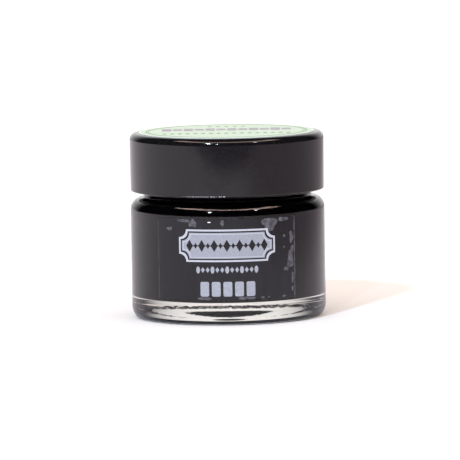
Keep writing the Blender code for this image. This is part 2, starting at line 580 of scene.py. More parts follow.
def coated_paper(name, low, high):
    """Coated label paper with a faint fibre, under a soft varnish."""
    material, place = start_material(name)
    fibre = add_node(
        material,
        "ShaderNodeTexNoise",
        inputs={"Vector": place, "Scale": 1 / (1.429 * MM), "Detail": 5.0, "Roughness": 0.7},
    )
    colour = add_node(
        material,
        "ShaderNodeValToRGB",
        inputs={"Fac": fibre.outputs[0]},
        stops=((0.3, low), (0.7, high)),
    )
    bump = add_node(
        material,
        "ShaderNodeBump",
        inputs={"Height": fibre.outputs[0], "Strength": 0.15, "Distance": 0.02 * MM},
    )
    shader = add_node(
        material,
        "ShaderNodeBsdfPrincipled",
        inputs={
            "Base Color": colour.outputs["Color"],
            "Roughness": 0.5,
            "IOR": 1.45,
            "Normal": bump.outputs[0],
        },
    )
    return end_material(material, shader)


def sweep_paper():
    """Matt white paper, cut from a wide roll."""
    material, place = start_material("White sweep paper, matt")
    # The tooth is drawn coarser than real paper has it, so that it shows.
    tooth = add_node(
        material,
        "ShaderNodeTexNoise",
        inputs={"Vector": place, "Scale": 1 / (1.111 * MM), "Detail": 2.0},
    )
    colour = add_node(
        material,
        "ShaderNodeValToRGB",
        inputs={"Fac": tooth.outputs[0]},
        stops=((0.3, "#E9E9E9"), (0.7, "#EDEDED")),
    )
    # In glossy reflections the paper is dimmer, and more so to the right.
    path = add_node(material, "ShaderNodeLightPath")
    split = add_node(material, "ShaderNodeSeparateXYZ", inputs={"Vector": place})
    right = add_node(
        material,
        "ShaderNodeMapRange",
        {"interpolation_type": "SMOOTHSTEP"},
        {"Value": split.outputs["X"], "From Min": 0.03, "From Max": 0.3},
    )
    falling = add_node(
        material,
        "ShaderNodeMix",
        {"data_type": "RGBA"},
        {"Factor": right.outputs[0], "A": linear("#E7E6EC"), "B": linear("#B3AAB1")},
    )
    dimmed = add_node(
        material,
        "ShaderNodeMix",
        {"data_type": "RGBA", "blend_type": "MULTIPLY"},
        {
            "Factor": path.outputs["Is Glossy Ray"],
            "A": colour.outputs["Color"],
            "B": falling.outputs["Result"],
        },
    )
    shader = add_node(
        material,
        "ShaderNodeBsdfPrincipled",
        inputs={"Base Color": dimmed.outputs["Result"], "Roughness": 0.9, "Specular IOR Level": 0.0},
    )
    return end_material(material, shader)


# The jar and what is in it.

WALL_RADIUS_INSIDE = 23.3 * MM
FLOOR_EDGE = 5.82 * MM
FLOOR_DOME = 2.45 * MM
FLOOR_CORNER = (1.75 * MM, 1.0 * MM)
BORE_RADIUS = 20.4 * MM
SHOULDER_INSIDE = (27.5 * MM, 31.8 * MM)
FOOT_RING = (19.5 * MM, 23.8 * MM)
HEEL_FULLNESS = 0.92
PUSH_UP = 2.58 * MM
PUSH_UP_SHALLOW_RADIUS = 14.6 * MM
PUSH_UP_FALL = 0.15
NECK_ROOT = (0.4 * MM, 1.4 * MM)
RIM_FILLET = 0.6 * MM
STIPPLE_DEPTH = 0.14 * MM
STIPPLE_INSET = 0.12 * MM
STIPPLE_ROW = 0.86 * MM
MARKS_TOP = 2.8 * MM
HEEL_MARKS = (1.55 * MM, 2.5 * MM)
HEEL_MARKS_BEHIND = 4.0 * MM
HEEL_MARK_DEPTH = 0.15 * MM
# The underside's marks reach their full depth this far to the rear, and are faint in front.
BASE_MARKS_FULL = 8.0 * MM
BASE_MARKS_FAINT = 0.012
BASE_MARK_DEPTH = 0.42 * MM
# The foot is scuffed and painted pale with light up to this height.
SCUFF_AND_LIGHT_TOP = 0.42 * MM


def parts(steps):
    """Even steps from 0 to 1."""
    return [step / steps for step in range(steps + 1)]


def inside_outline(into_glass=0.0):
    """The jar's domed floor, side wall and shoulder, from the middle up to where the bore starts."""
    corner_radius = WALL_RADIUS_INSIDE - FLOOR_CORNER[0]
    outline = [
        (corner_radius * part, FLOOR_EDGE - into_glass + FLOOR_DOME * (1 - part**2)) for part in parts(12)
    ]
    centre = (corner_radius, FLOOR_EDGE + FLOOR_CORNER[1])
    reach = (FLOOR_CORNER[0] + into_glass, FLOOR_CORNER[1] + into_glass)
    outline += arc(centre, reach, -90, 0, 10)[1:]
    low, high = SHOULDER_INSIDE
    for part in parts(12):
        eased = part * part * (3 - 2 * part)
        radius = WALL_RADIUS_INSIDE + (BORE_RADIUS - WALL_RADIUS_INSIDE) * eased
        outline.append((radius + into_glass, low + (high - low) * part))
    return outline


def base_outline(sizes):
    """The push-up, the flat foot ring and the heel, from the middle up to the side wall."""
    outline = [
        (PUSH_UP_SHALLOW_RADIUS * part, PUSH_UP * (1 - PUSH_UP_FALL * part**2)) for part in parts(30)
    ]
    edge_reach = (FOOT_RING[0] - PUSH_UP_SHALLOW_RADIUS, PUSH_UP * (1 - PUSH_UP_FALL))
    outline += arc((PUSH_UP_SHALLOW_RADIUS, 0.0), edge_reach, 90, 0, 12)[1:]
    outline += [(FOOT_RING[0] + (FOOT_RING[1] - FOOT_RING[0]) * part, 0.0) for part in parts(5)[1:-1]]
    for part in parts(26):
        angle = math.pi / 2 * part
        radius = FOOT_RING[1] + (sizes.jar_radius - FOOT_RING[1]) * math.sin(angle) ** HEEL_FULLNESS
        outline.append((radius, sizes.heel_height * (1 - abs(math.cos(angle)) ** HEEL_FULLNESS)))
    return outline


def jar_outline(sizes):
    """The jar's section, from the middle of its underside round its outside to the middle of its floor."""
    neck_radius = sizes.jar_radius - sizes.shoulder_fillet - NECK_ROOT[0]
    wall_top = sizes.shoulder_height - sizes.shoulder_fillet
    outline = base_outline(sizes)
    outline += [(sizes.jar_radius, sizes.heel_height + GUARD), (sizes.jar_radius, wall_top - GUARD)]
    fillet = (sizes.shoulder_fillet, sizes.shoulder_fillet)
    outline += arc((sizes.jar_radius - sizes.shoulder_fillet, wall_top), fillet, 0, 90, 20)
    root_centre = (neck_radius + NECK_ROOT[0], sizes.shoulder_height + NECK_ROOT[1])
    outline += arc(root_centre, NECK_ROOT, 270, 180, 10)[1:]
    rim = (RIM_FILLET, RIM_FILLET)
    outline += [
        (neck_radius, root_centre[1] + GUARD),
        (neck_radius, sizes.rim_height - RIM_FILLET - GUARD),
    ]
    outline += arc((neck_radius - RIM_FILLET, sizes.rim_height - RIM_FILLET), rim, 0, 90, 6)
    outline += arc((BORE_RADIUS + RIM_FILLET, sizes.rim_height - RIM_FILLET), rim, 90, 180, 6)
    return outline + list(reversed(inside_outline()))


def press_faces(piece, wanted, thickness, depth):
    """Insets each face that a test wants and moves its middle in or out."""
    pick(piece)
    bpy.ops.object.mode_set(mode="EDIT")
    bpy.ops.mesh.select_mode(type="FACE")
    bpy.ops.mesh.select_all(action="DESELECT")
    bpy.ops.object.mode_set(mode="OBJECT")
    for face in piece.data.polygons:
        face.select = wanted(face.center)
    bpy.ops.object.mode_set(mode="EDIT")
    bpy.ops.mesh.inset(use_individual=True, thickness=thickness, depth=depth)
    bpy.ops.mesh.select_mode(type="VERT")
    bpy.ops.object.mode_set(mode="OBJECT")


def stipple_foot(jar):
    """Presses a chequer of dimples into the foot ring: every other face, in rows."""

    def on_ring(middle):
        radius = math.hypot(middle.x, middle.y)
        column = int((math.atan2(middle.y, middle.x) / math.tau + 0.5) * SIDES)
        row = int((radius - FOOT_RING[0]) / STIPPLE_ROW)
        return middle.z < 0.01 * MM and radius > FOOT_RING[0] and (column + row) % 2 == 0

    press_faces(jar, on_ring, STIPPLE_INSET, -STIPPLE_DEPTH)


def scatter(column, row):
    """A repeatable uneven number from 0 to 1."""
    return math.sin(column * 12.9898 + row * 78.233) * 43758.5453 % 1.0


def seat_on_wall(piece, seat, around, height):
    """Wraps a small upright piece round a wall of this radius, at an angle from the front."""
    for vertex in piece.data.vertices:
        angle = around + vertex.co.x / seat
        reach = seat - vertex.co.y
        vertex.co = (reach * math.sin(angle), -reach * math.cos(angle), vertex.co.z + height)


def mould_marks(jar):
    """Pebbles the rear of the heel and the whole underside, where the mould's marks are."""
    for vertex in jar.data.vertices:
        place = vertex.co
        radius = math.hypot(place.x, place.y)
        if place.z > MARKS_TOP:
            continue
        angle = math.atan2(place.y, place.x)
        column = round(angle / math.tau * SIDES)
        on_heel = radius > FOOT_RING[1] and HEEL_MARKS[0] < place.z < HEEL_MARKS[1]
        if on_heel and place.y > HEEL_MARKS_BEHIND:
            inward = 1 - HEEL_MARK_DEPTH * scatter(column, round(place.z / MM * 20)) / radius
            place.x *= inward
            place.y *= inward
        if radius < PUSH_UP_SHALLOW_RADIUS:
            rear = min(1.0, max(BASE_MARKS_FAINT, place.y / BASE_MARKS_FULL))
            across = math.sin(place.x / MM * 3.9 + 1.9 * math.sin(place.y / MM * 1.7))
            along = math.sin(place.y / MM * 2.3 + 1.7 * math.sin(place.x / MM * 0.9))
            place.z += BASE_MARK_DEPTH * rear * max(0.0, across * along)


class JAR_OT_glass(bpy.types.Operator):
    """Model the glass jar with its heel, shoulder, neck and thread"""

    bl_idname = "jar.glass"
    bl_label = "Glass jar"

    def execute(self, context):
        sizes = context.scene.jar_sizes
        jar = turn("jar_glass", jar_outline(sizes))
        stipple_foot(jar)
        mould_marks(jar)
        neck_radius = sizes.jar_radius - sizes.shoulder_fillet - NECK_ROOT[0]
        ridge = wind_thread(
            "jar_thread", JAR_THREAD_START, neck_radius - THREAD_ROOTED, JAR_THREAD_CREST
        )
        join_solid(jar, ridge)
        smooth(jar)
        finish_piece(jar, flint_glass(), "jar", ["glass_jar"])
        # The lowest faces of the foot take the scuffed glass, which also carries painted light.
        jar.data.materials.append(scuffed_glass_and_painted_light())
        for face in jar.data.polygons:
            outside = math.hypot(face.center.x, face.center.y) > FOOT_RING[0]
            if outside and face.center.z < SCUFF_AND_LIGHT_TOP:
                face.material_index = 1
        return {"FINISHED"}


class JAR_OT_cream(bpy.types.Operator):
    """Model the cream that fills the jar, with a stirred top"""

    bl_idname = "jar.cream"
    bl_label = "Shoe cream"

    def execute(self, context):
        wetted = 0.03 * MM
        top = CREAM_BOX[1].z
        edge = BORE_RADIUS + wetted
        body_outline = inside_outline(wetted) + [(edge, top - 1.5 * MM), (0.0, top - 1.5 * MM)]
        cream = turn("cream_fill", body_outline)
        smooth(cream)
        finish_piece(
            cream,
            wax_cream("Wax cream, wetted on to the glass", 0.0, 0.6),
            "jar",
            ["shoe_cream"],
        )
        rings = 40
        top_outline = [(0.0, top - 1.6 * MM), (edge, top - 1.6 * MM), (edge, top - 0.1 * MM)]
        for step in range(rings + 1):
            part = 1 - step / rings
            creep = 0.5 * MM * part**24
            top_outline.append(((edge - 0.02 * MM) * part, top - 0.6 * MM + creep))
        stirred = turn("cream_top", top_outline)
        for vertex in stirred.data.vertices:
            if vertex.co.z < top - 1.2 * MM:
                continue
            radius = math.hypot(vertex.co.x, vertex.co.y) / edge
            angle = math.atan2(vertex.co.y, vertex.co.x)
            fade = math.sin(math.pi * min(1.0, radius)) ** 0.5 if 0 < radius < 1 else 0.0
            swirl = math.sin(2 * angle + 11 * radius) + 0.5 * math.sin(5 * angle - 17 * radius + 1)
            vertex.co.z += 0.16 * MM * fade * swirl
        smooth(stirred, 60)
        finish_piece(
            stirred,
            wax_cream("Wax cream, stirred and set", 0.5, 0.32),
            "jar",
            ["shoe_cream"],
        )
        return {"FINISHED"}


# The cap and its liner.

CAP_INSIDE_RADIUS = 24.0 * MM
CAP_CEILING = 47.7 * MM
# Small chips along the front of the cap's lower edge, coloured pale as painted glints, with angles in
# degrees.
GLINT_CHIPS = 17
GLINT_START = -27.0
GLINT_SPACING = 1.55
GLINT_HEIGHT = 0.22 * MM


class JAR_OT_cap(bpy.types.Operator):
    """Model the screw cap with its thread"""

    bl_idname = "jar.cap"
    bl_label = "Screw cap"

    def execute(self, context):
        sizes = context.scene.jar_sizes
        top = CAP_BOX[1].z
        bottom = CAP_BOX[0].z
        radius = CAP_BOX[1].x
        mouth = radius - 0.1 * MM
        fillet = (sizes.cap_fillet, sizes.cap_fillet)
        corner = (0.8 * MM, 0.8 * MM)
        lip = (0.35 * MM, 0.35 * MM)
        outline = [(0.0, CAP_CEILING)]
        outline += arc((CAP_INSIDE_RADIUS - corner[0], CAP_CEILING - corner[1]), corner, 90, 0, 8)
        outline += arc((CAP_INSIDE_RADIUS + lip[0], bottom + lip[1]), lip, 180, 270, 5)
        outline += arc((mouth - lip[0], bottom + lip[1]), lip, -90, 0, 6)
        outline += [(mouth, bottom + lip[1] + GUARD), (radius, top - fillet[1] - GUARD)]
        outline += arc((radius - fillet[0], top - fillet[1]), fillet, 0, 90, 20)
        outline += [(radius - fillet[0] - GUARD, top), (0.0, top)]
        cap = turn("cap_shell", outline)
        ridge = wind_thread(
            "cap_thread", CAP_THREAD_START, CAP_INSIDE_RADIUS + THREAD_ROOTED, CAP_THREAD_CREST
        )
        join_solid(cap, ridge)
        smooth(cap)
        finish_piece(cap, cap_plastic(), "cap", ["screw_cap"])
        chips = []
        for number in range(GLINT_CHIPS):
            start_clean()
            bpy.ops.mesh.primitive_uv_sphere_add(segments=12, ring_count=8, radius=1.0)
            size = 0.4 + 0.6 * scatter(number, 2)
            chip = new_piece(f"chip_{number}", (0.26 * MM * size, 0.06 * MM, 0.11 * MM * size))
            around = math.radians(GLINT_START + GLINT_SPACING * number + 0.9 * scatter(number, 1))
            seat_on_wall(chip, mouth, around, bottom + GLINT_HEIGHT)
            chips.append(chip)
        glint_piece = merge_pieces("cap_painted_glints", chips)
        smooth(glint_piece)
        # The chips' pale colour is a painted glint of the lamps along the cap's lower edge.
        painted_chip_glints = printed_ink_and_glint("Phenolic plastic chips, pale with painted glints", "#6F727C", "#F2F3F8", 0.3, 0.2 * MM)
        finish_piece(glint_piece, painted_chip_glints, "cap", ["screw_cap"])
        return {"FINISHED"}


# The groove that the rim has pressed into the liner: radius and depth.
RIM_PRINT = ((19.9 * MM, 0.0), (20.4 * MM, 0.15 * MM), (22.2 * MM, 0.15 * MM), (22.7 * MM, 0.0))


class JAR_OT_liner(bpy.types.Operator):
    """Model the foam wad with the rim's print in its underside"""

    bl_idname = "jar.liner"
    bl_label = "Cap liner"

    def execute(self, context):
        low = LINER_BOX[0].z
        high = LINER_BOX[1].z
        radius = LINER_BOX[1].x
        edge = (0.2 * MM, 0.2 * MM)
        outline = [(0.0, low)]
        outline += [(at, low + depth) for at, depth in RIM_PRINT]
        outline += arc((radius - edge[0], low + edge[1]), edge, -90, 0, 4)
        outline += arc((radius - edge[0], high - edge[1]), edge, 0, 90, 4)
        outline.append((0.0, high))
        liner = turn("liner_wad", outline)
        smooth(liner)
        finish_piece(liner, wad_foam(), "liner", ["cap_liner"])
        return {"FINISHED"}


# The front label. Its pieces are drawn flat, as wide as they are along the curve, then bent round the jar.


def flat_plate(name, width, height, middle=(0.0, 0.0)):
    """A flat face in the XZ plane that looks along -Y, its middle at a place on the label."""
    start_clean()
    bpy.ops.mesh.primitive_plane_add(
        size=1.0, location=(middle[0], 0.0, middle[1]), rotation=(math.pi / 2, 0.0, 0.0)
    )
    return new_piece(name, (width, height, 1.0))


def flat_disc(name, width, height, middle, sides=24):
    start_clean()
    bpy.ops.mesh.primitive_circle_add(
        vertices=sides,
        radius=0.5,
        fill_type="NGON",
        location=(middle[0], 0.0, middle[1]),
        rotation=(math.pi / 2, 0.0, 0.0),
    )
    return new_piece(name, (width, height, 1.0))


def slice_upright(piece, spacing=1.0 * MM):
    """Cuts upright edges into a flat piece, so that it can bend smoothly."""
    reach = max(abs(vertex.co.x) for vertex in piece.data.vertices)
    cuts = int(reach / spacing)
    pick(piece)
    bpy.ops.object.mode_set(mode="EDIT")
    for cut in range(-cuts, cuts + 1):
        bpy.ops.mesh.select_all(action="SELECT")
        bpy.ops.mesh.bisect(plane_co=(cut * spacing, 0.0, 0.0), plane_no=(1.0, 0.0, 0.0))
    bpy.ops.object.mode_set(mode="OBJECT")


def bend_round_jar(piece, seat, thickness):
    """Thickens a flat piece and bends it round the jar's axis at a radius, facing the front."""
    low = min(vertex.co.x for vertex in piece.data.vertices)
    high = max(vertex.co.x for vertex in piece.data.vertices)
    pick(piece)
    bend = piece.modifiers.new("Bend", "SIMPLE_DEFORM")
    bend.deform_method = "BEND"
    bend.deform_axis = "Z"
    bend.angle = (high - low) / seat
    if thickness > 0:
        thick = piece.modifiers.new("Thickness", "SOLIDIFY")
        thick.thickness = thickness
        thick.offset = 1.0
    apply_modifiers(piece)
    bpy.ops.object.mode_set(mode="EDIT")
    bpy.ops.mesh.select_all(action="SELECT")
    bpy.ops.transform.translate(value=(0.0, -seat, 0.0))
    bpy.ops.object.mode_set(mode="OBJECT")
    for vertex in piece.data.vertices:
        x, y = vertex.co.x, vertex.co.y
        vertex.co.x = x * math.cos(FILM_CENTRE) - y * math.sin(FILM_CENTRE)
        vertex.co.y = x * math.sin(FILM_CENTRE) + y * math.cos(FILM_CENTRE)


def merge_pieces(name, pieces):
    """Joins separate copies into one object."""
    start_clean()
    for piece in pieces:
        piece.select_set(True)
    bpy.context.view_layer.objects.active = pieces[0]
    bpy.ops.object.join()
    pieces[0].name = name
    pieces[0].data.name = name
    return pieces[0]


def ticket(name, width, height, middle, notch):
    """A plate whose corners are scooped out."""
    plate = flat_plate(name, width, height, middle)
    bpy.ops.object.mode_set(mode="EDIT")
    bpy.ops.mesh.select_all(action="SELECT")
    bpy.ops.mesh.bevel(offset=notch, segments=10, profile=0.08, affect="VERTICES")
    bpy.ops.object.mode_set(mode="OBJECT")
    return plate


def rounded_block(name, width, height, middle, corner):
    block = flat_plate(name, width, height, middle)
    bpy.ops.object.mode_set(mode="EDIT")
    bpy.ops.mesh.select_all(action="SELECT")
    bpy.ops.mesh.bevel(offset=corner, segments=4, affect="VERTICES")
    bpy.ops.object.mode_set(mode="OBJECT")
    return block


def row_of(make, count, width):
    """Makes a row of copies, spread over a width; each is made from its place and its number."""
    return [make(width * (number / (count - 1) - 0.5), number) for number in range(count)]


def stick_on_jar(piece, layer, material, thickness=INK_THICKNESS):
    """Bends a flat print round the jar on top of the film, so many layers of ink up."""
    seat = JAR_BOX[1].x + FILM_SEAT + FILM_THICKNESS + layer * INK_THICKNESS
    slice_upright(piece)
    bend_round_jar(piece, seat, thickness)
    smooth(piece, 20)
    finish_piece(piece, material, "jar", ["front_label"])
    return piece


class JAR_OT_film(bpy.types.Operator):
    """Model the clear film of the front label"""

    bl_idname = "jar.film"
    bl_label = "Label film"

    def execute(self, context):
        sizes = context.scene.jar_sizes
        low, high = FILM_BOX[0].z, FILM_BOX[1].z
        start_clean()
        bpy.ops.mesh.primitive_grid_add(
            x_subdivisions=120,
            y_subdivisions=64,
            size=1.0,
            location=(0.0, 0.0, (low + high) / 2),
            rotation=(math.pi / 2, 0.0, 0.0),
        )
        film = new_piece("film_sheet", (sizes.film_width, high - low, 1.0))
        bend_round_jar(film, sizes.jar_radius + FILM_SEAT, FILM_THICKNESS)
        smooth(film)
        finish_piece(film, label_film(), "jar", ["front_label"])
        return {"FINISHED"}


# Where air is trapped under the film: middle across and up, width and height, in millimetres.
BLISTERS = (
    (11.9, 26.7, 4.2, 3.6),
    (15.8, 27.8, 3.2, 1.1),
    (18.7, 22.8, 1.3, 3.2),
    (18.3, 16.6, 2.0, 4.6),
    (16.9, 14.6, 1.5, 1.1),
    (18.9, 19.7, 1.0, 2.2),
    (19.0, 12.2, 0.8, 3.0),
    (18.9, 9.2, 0.7, 1.4),
    (16.3, 23.3, 0.8, 0.7),
    (16.2, 20.4, 0.7, 0.6),
    (5.4, 7.35, 4.8, 0.75),
    (-5.6, 7.35, 3.8, 0.75),
    (9.7, 7.35, 1.0, 0.6),
    (11.4, 7.3, 0.6, 0.4),
    (16.0, 7.35, 1.2, 0.5),
    (-11.6, 27.9, 3.6, 0.8),
    (-9.0, 27.2, 2.2, 2.0),
    (-1.0, 27.3, 0.9, 1.6),
    (-15.9, 25.6, 1.9, 0.9),
)


# One small round bead of air under the film, coloured pale as a painted glint: its size, its angle from the
# front, its height and its lean.
BEAD_REACH = (0.45 * MM, 0.12 * MM, 0.16 * MM)
BEAD_AROUND = math.radians(-11.0)
BEAD_HEIGHT = 27.5 * MM
BEAD_LEAN = math.radians(-21)


class JAR_OT_air(bpy.types.Operator):
    """Model the air trapped under the film and the film's lifted edges, each with a painted reflection"""

    bl_idname = "jar.air"
    bl_label = "Trapped air"

    def execute(self, context):
        sizes = context.scene.jar_sizes
        # The blisters and the film's edges take the pale air material, whose grey is a painted reflection.
        air = trapped_air_reflection()
        low, high = FILM_BOX[0].z, FILM_BOX[1].z
        blisters = []
        for number, (across, up, width, height) in enumerate(BLISTERS):
            blister = flat_disc("blister", width * MM, height * MM, (across * MM, up * MM), 28)
            for vertex in blister.data.vertices:
                angle = math.atan2(vertex.co.z - up * MM, vertex.co.x - across * MM)
                uneven = 1 + 0.16 * math.sin(3 * angle + number) + 0.1 * math.sin(5 * angle + 2 * number)
                vertex.co.x = across * MM + (vertex.co.x - across * MM) * uneven
                vertex.co.z = up * MM + (vertex.co.z - up * MM) * uneven
                vertex.co.z = min(max(vertex.co.z, low + 0.05 * MM), high - 0.05 * MM)
                vertex.co.x = min(vertex.co.x, sizes.film_width / 2 - 0.1 * MM)
            blisters.append(blister)
        stick_on_jar(merge_pieces("film_blisters", blisters), 0, air, 0.01 * MM)
        # Each edge strip is a pale line of painted reflection along the film's edge.
        for name, side, width in (("film_edge_left", -1, 0.12 * MM), ("film_edge_right", 1, 0.3 * MM)):
            start_clean()
            bpy.ops.mesh.primitive_grid_add(
                x_subdivisions=1,
                y_subdivisions=90,
                size=1.0,
                location=(side * (sizes.film_width / 2 - width / 2), 0.0, (low + high) / 2),
                rotation=(math.pi / 2, 0.0, 0.0),
            )
            edge = new_piece(name, (width, high - low, 1.0))
            for vertex in edge.data.vertices:
                up = (vertex.co.z - low) / MM
                ragged = math.sin(1.9 * up) * math.sin(0.83 * up + 1) + 0.4 * math.sin(5.3 * up)
                if abs(vertex.co.x) < sizes.film_width / 2 - width * 0.6:
                    vertex.co.x -= side * width * 0.45 * ragged
            stick_on_jar(edge, 0, air, 0.01 * MM)
        start_clean()
        bpy.ops.mesh.primitive_uv_sphere_add(
            segments=32, ring_count=24, radius=1.0, rotation=(BEAD_LEAN, 0.0, 0.0)
        )
        bead = new_piece("film_bead", BEAD_REACH)
        seat = sizes.jar_radius + FILM_SEAT + FILM_THICKNESS
        seat_on_wall(bead, seat, BEAD_AROUND, BEAD_HEIGHT)
        smooth(bead)
        # The bead's near-white colour is a painted glint of the key light.
        painted_glint = printed_ink_and_glint("Label film over an air bead, painted glint", "#C9CCD4", "#F2F3F6", 0.05, 0.4167 * MM)
        finish_piece(bead, painted_glint, "jar", ["front_label"])
        return {"FINISHED"}


class JAR_OT_plate(bpy.types.Operator):
    """Model the label's silver plate, its keylines and its black ornament"""

    bl_idname = "jar.plate"
    bl_label = "Label plate"

    def execute(self, context):
        colours = context.scene.jar_colours
        width, height = 26.4 * MM, 8.6 * MM
        middle = (0.2 * MM, 21.3 * MM)
        notch = 2.1 * MM
        line = 0.5 * MM
        dark = printed_ink_and_glint("Screen ink, black", "#0A0A0D", "#17171B", 0.25)
        bright = printed_ink_and_glint(
            "Screen ink, bright silver, and painted highlight", "#A6AAB6", colours.silver_line, 0.35, 0.4167 * MM
        )
        silver = printed_ink_and_glint("Screen ink, silver", colours.silver_ink, "#9296A2", 0.4, 0.4167 * MM)
        # The fourth ring, in the bright ink, is a painted highlight inside the border; the outer rim is
        # print.
        layers = (
            ("plate_rim", bright, 0.0),
            ("plate_gap", dark, line),
            ("plate_field", silver, 1.75 * line),
            ("plate_painted_highlight", bright, 2.3 * line),
            ("plate_face", silver, 2.7 * line),
        )
        for layer, (name, ink, inset) in enumerate(layers):
            plate = ticket(name, width - 2 * inset, height - 2 * inset, middle, notch)
            stick_on_jar(plate, layer, ink)

        def jewel(across, number):
            tall = 3.2 * MM if number % 2 == 0 else 1.6 * MM
            wide = 1.9 * MM if number % 2 == 0 else 1.0 * MM
            return flat_disc("jewel", wide, tall, (middle[0] + across, middle[1]), 4)

        jewels = row_of(jewel, 13, 20.2 * MM)
        jewels.append(flat_plate("thread", 21.6 * MM, 0.25 * MM, middle))
        stick_on_jar(merge_pieces("plate_ornament", jewels), len(layers), dark)
        return {"FINISHED"}


class JAR_OT_lines(bpy.types.Operator):
    """Model the row of silver dots and the row of silver blocks under the plate"""

    bl_idname = "jar.lines"
    bl_label = "Label lines"

    def execute(self, context):
        colours = context.scene.jar_colours
        silver = printed_ink_and_glint("Screen ink, silver, lines", colours.silver_ink, "#9DA1AD", 0.4, 0.4167 * MM)

        dots_middle, blocks_middle = (0.2 * MM, 14.9 * MM), (0.3 * MM, 9.8 * MM)

        def dot(across, number):
            tall, sides = (1.5 * MM, 4) if number % 3 else (1.9 * MM, 12)
            return flat_disc("dot", 1.05 * MM, tall, (dots_middle[0] + across, dots_middle[1]), sides)

        def block(across, number):
            middle = (blocks_middle[0] + across, blocks_middle[1])
            return rounded_block("block", 2.35 * MM, 3.9 * MM, middle, 0.45 * MM)

        stick_on_jar(merge_pieces("line_dots", row_of(dot, 13, 15.6 * MM)), 0, silver)
        stick_on_jar(merge_pieces("line_blocks", row_of(block, 5, 12.3 * MM)), 0, silver)
        return {"FINISHED"}


# The top label. Its pieces are drawn lying flat on the cap.


def lay_on_cap(piece, layer, material, thickness=INK_THICKNESS):
    """Thickens a flat upright drawing and lays it down on the cap, so many layers of ink up."""
    thick = piece.modifiers.new("Thickness", "SOLIDIFY")
    thick.thickness = thickness
    thick.offset = 1.0
    apply_modifiers(piece)
    height = CAP_BOX[1].z + FILM_SEAT
    if layer > 0:
        height += LID_THICKNESS + (layer - 1) * INK_THICKNESS
    for vertex in piece.data.vertices:
        across, out, up = vertex.co
        vertex.co = (across, up, height - out)
    smooth(piece, 30)
    finish_piece(piece, material, "cap", ["top_label"])
    return piece


class JAR_OT_lid_label(bpy.types.Operator):
    """Model the round paper label on the cap with its printed rings, band and leaves"""

    bl_idname = "jar.lid_label"
    bl_label = "Lid label"

    def execute(self, context):
        colours = context.scene.jar_colours
        radius = LID_BOX[1].x
        centre = (0.0, 0.0)
        paper = coated_paper("Coated paper, white edge", "#D3DFDB", "#DCE7E3")
        green = coated_paper("Coated paper, printed pale green", colours.lid_paper, colours.lid_paper_high)
        leaf = printed_ink_and_glint("Litho ink, leaf green", "#4E7A50", "#6C966A", 0.45)
        band = printed_ink_and_glint("Litho ink, lavender grey", colours.lavender, "#ACA6AE", 0.45, 1.111 * MM)
        lay_on_cap(flat_disc("lid_paper", 2 * radius, 2 * radius, centre, SIDES), 0, paper, LID_THICKNESS)
        inner = 2 * radius - 0.9 * MM
        lay_on_cap(flat_disc("lid_field", inner, inner, centre, SIDES), 1, green)
        rings = []
        for ring_radius, wide in ((21.6 * MM, 0.3 * MM), (20.9 * MM, 0.15 * MM)):
            ring = flat_disc("ring", 2 * ring_radius, 2 * ring_radius, centre, SIDES)
            bpy.ops.object.mode_set(mode="EDIT")
            bpy.ops.mesh.select_mode(type="FACE")
            bpy.ops.mesh.select_all(action="SELECT")
            bpy.ops.mesh.inset(thickness=wide)
            bpy.ops.mesh.delete(type="FACE")
            bpy.ops.mesh.select_mode(type="VERT")
            bpy.ops.object.mode_set(mode="OBJECT")
            rings.append(ring)
        lay_on_cap(merge_pieces("lid_rings", rings), 2, leaf)

        def tile(across, number):
            deep = 8.0 * MM if number % 2 == 0 else 5.6 * MM
            return rounded_block("tile", 2.5 * MM, deep, (across, 4.5 * MM), 0.7 * MM)

        def front_leaf(across, number):
            return flat_disc("leaf", 1.3 * MM, 2.6 * MM, (across, -8.0 * MM), 6)

        def rear_leaf(across, number):
            return flat_disc("leaf", 1.2 * MM, 2.0 * MM, (across, 14.5 * MM), 6)

        lay_on_cap(merge_pieces("lid_band", row_of(tile, 12, 32.0 * MM)), 2, band)
        leaves = row_of(front_leaf, 17, 33.0 * MM) + row_of(rear_leaf, 5, 9.0 * MM)
        lay_on_cap(merge_pieces("lid_leaves", leaves), 2, leaf)
        return {"FINISHED"}


# The stage.


def aim(thing, place, target, roll=0.0):
    """Turns a camera or lamp at a place to look at a target."""
    thing.location = place
    turned = (Vector(target) - Vector(place)).to_track_quat("-Z", "Y").to_euler()
    thing.rotation_euler = turned
    thing.rotation_euler.rotate_axis("Z", roll)


def from_angles(azimuth, elevation, distance, centre=(0.0, 0.0, 0.0)):
    """A place seen from the centre, with the azimuth counted from the front towards +X, in degrees."""
    flat = math.cos(math.radians(elevation)) * distance
    return (
        centre[0] + flat * math.sin(math.radians(azimuth)),
        centre[1] - flat * math.cos(math.radians(azimuth)),
        centre[2] + math.sin(math.radians(elevation)) * distance,
    )


